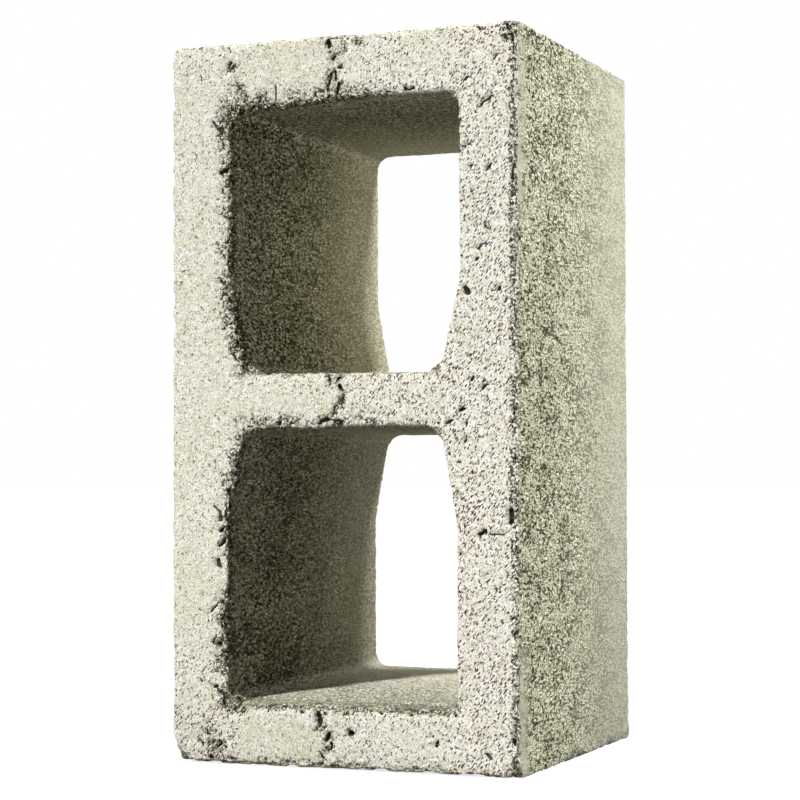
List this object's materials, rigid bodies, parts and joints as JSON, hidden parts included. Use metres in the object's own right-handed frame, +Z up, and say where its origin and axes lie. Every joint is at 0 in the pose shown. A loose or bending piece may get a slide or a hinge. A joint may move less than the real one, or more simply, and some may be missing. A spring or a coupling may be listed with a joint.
{
  "type": "hollow concrete block",
  "caption": "Hollow concrete block with two tapered cores running through it, a thin web between them and plain flat ends, standing on one end.",
  "frame": {"origin": "centre of the end face that the block stands on, at floor level", "axes": "+Z up along the block's length, Y along the cores with -Y the bed face with the wider mouths, X across the block's width"},
  "size_m": [0.2, 0.2, 0.39],
  "materials": {
    "concrete": "dry-cast pale grey concrete, faintly greenish, rough and open-textured on the moulded sides, pitted on the bed face"
  },
  "bodies": {
    "root": {"concrete_block": "concrete"}
  },
  "joints": []
}
